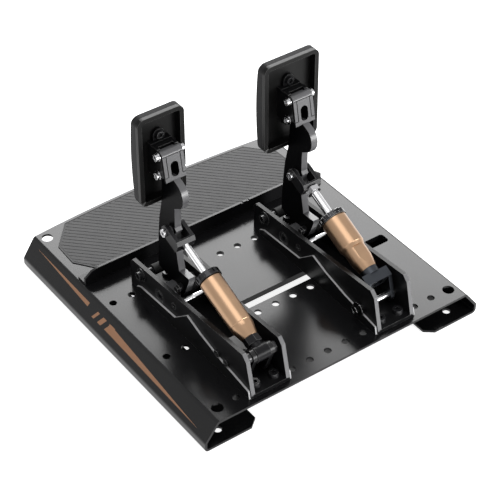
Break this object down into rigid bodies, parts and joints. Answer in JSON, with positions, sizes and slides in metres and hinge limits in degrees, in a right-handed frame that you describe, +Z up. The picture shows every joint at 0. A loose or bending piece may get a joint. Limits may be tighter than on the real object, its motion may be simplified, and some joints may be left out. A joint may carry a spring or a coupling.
{
  "type": "sim racing pedal set",
  "caption": "Throttle and brake pedal set for sim racing on a bent sheet base, with swinging arms, damped rods, rubber pads and a heel rest.",
  "frame": {"origin": "middle of the base on the floor plane, under the foot flanges", "axes": "+Z up, -Y towards the driver, +X towards the throttle"},
  "size_m": [0.3848, 0.392, 0.2878],
  "materials": {
    "black_coat": "satin black powder coat",
    "bracket_coat": "satin black powder coat",
    "heel_mat": "ribbed matt mat",
    "arm_coat": "satin black coat on machined alloy",
    "grey_alloy": "dark grey anodised",
    "screw_steel": "bright plated",
    "polished_steel": "polished",
    "copper_alloy": "satin copper-coloured anodised",
    "bronze": "turned bearing bronze",
    "rubber": "matt black rubber",
    "pad_alloy": "dark anodised",
    "black_plastic": "fine-grained black plastic",
    "spring_steel": "oiled spring steel"
  },
  "bodies": {
    "root": {"base_plate": "black_coat", "heel_stop": "black_coat", "heel_stop_screws": "arm_coat", "heel_mat": "heel_mat", "bracket_bolts": "screw_steel", "bolt_bars": "screw_steel", "spreader_screws": "screw_steel", "pivot_bearings": "polished_steel", "throttle_bracket": "bracket_coat", "throttle_side_plates": "bracket_coat", "throttle_spreader_bar": "polished_steel", "throttle_rest_pin": "screw_steel", "throttle_rest_bumper": "rubber", "throttle_lower_pin": "arm_coat", "throttle_anchor": "arm_coat", "throttle_anchor_screws": "screw_steel", "throttle_sensor": "black_plastic", "brake_bracket": "bracket_coat", "brake_side_plates": "bracket_coat", "brake_spreader_bar": "polished_steel", "brake_rest_pin": "screw_steel", "brake_rest_bumper": "rubber", "brake_lower_pin": "polished_steel"},
    "throttle_pedal": {"throttle_arm": "arm_coat", "throttle_pivot_shaft": "polished_steel", "throttle_foot_pin": "arm_coat", "throttle_pad_bracket": "arm_coat", "throttle_pad_screws": "screw_steel", "throttle_pad_tray": "pad_alloy", "throttle_pad_tread": "rubber", "throttle_pad_bolts": "arm_coat", "throttle_magnet": "polished_steel"},
    "throttle_clevis_rod": {"throttle_clevis": "grey_alloy", "throttle_clevis_bolt": "screw_steel", "throttle_rod": "polished_steel", "throttle_piston": "polished_steel"},
    "throttle_damper": {"throttle_collar": "arm_coat", "throttle_sleeve": "copper_alloy", "throttle_guide_bush": "bronze", "throttle_spring": "spring_steel", "throttle_rod_end": "grey_alloy"},
    "brake_pedal": {"brake_arm": "arm_coat", "brake_pivot_shaft": "polished_steel", "brake_foot_pin": "arm_coat", "brake_pad_bracket": "arm_coat", "brake_pad_screws": "screw_steel", "brake_pad_tray": "pad_alloy", "brake_pad_tread": "rubber", "brake_pad_bolts": "arm_coat"},
    "brake_clevis_rod": {"brake_clevis": "grey_alloy", "brake_clevis_bolt": "screw_steel", "brake_rod": "polished_steel", "brake_piston": "polished_steel", "brake_lock_nut": "polished_steel"},
    "brake_damper": {"brake_collar": "arm_coat", "brake_sleeve": "copper_alloy", "brake_guide_bush": "bronze", "brake_elastomers": "rubber", "brake_end_block": "grey_alloy", "brake_load_cell": "polished_steel"}
  },
  "joints": [
    {"name": "throttle_press", "type": "hinge", "parent": "root", "child": "throttle_pedal", "pos_m": [0.1, 0.0122, 0.058], "axis": [-1, 0, 0], "range_deg": [0, 15], "stiffness_Nm_per_rad": 18, "springref_deg": -5.73},
    {"name": "throttle_clevis_turn", "type": "hinge", "parent": "throttle_pedal", "child": "throttle_clevis_rod", "pos_m": [0.1, 0.0077, 0.1413], "axis": [-1, 0, 0], "range_deg": [-13, 0]},
    {"name": "throttle_damper_swing", "type": "hinge", "parent": "root", "child": "throttle_damper", "pos_m": [0.1, 0.1692, 0.076], "axis": [-1, 0, 0], "range_deg": [0, 3], "deforming": ["throttle_spring"]},
    {"name": "brake_press", "type": "hinge", "parent": "root", "child": "brake_pedal", "pos_m": [-0.075, 0.0122, 0.058], "axis": [-1, 0, 0], "range_deg": [0, 8], "stiffness_Nm_per_rad": 420, "springref_deg": -0.69},
    {"name": "brake_clevis_turn", "type": "hinge", "parent": "brake_pedal", "child": "brake_clevis_rod", "pos_m": [-0.075, 0.0077, 0.1413], "axis": [-1, 0, 0], "range_deg": [-7, 0]},
    {"name": "brake_damper_swing", "type": "hinge", "parent": "root", "child": "brake_damper", "pos_m": [-0.075, 0.1567, 0.053], "axis": [-1, 0, 0], "range_deg": [0, 2], "deforming": ["brake_elastomers"]}
  ],
  "couplings": [
    {"joint": "throttle_clevis_turn", "follows": "throttle_press", "ratio": -0.829},
    {"joint": "throttle_damper_swing", "follows": "throttle_press", "ratio": 0.171},
    {"joint": "brake_clevis_turn", "follows": "brake_press", "ratio": -0.7898},
    {"joint": "brake_damper_swing", "follows": "brake_press", "ratio": 0.2102}
  ]
}
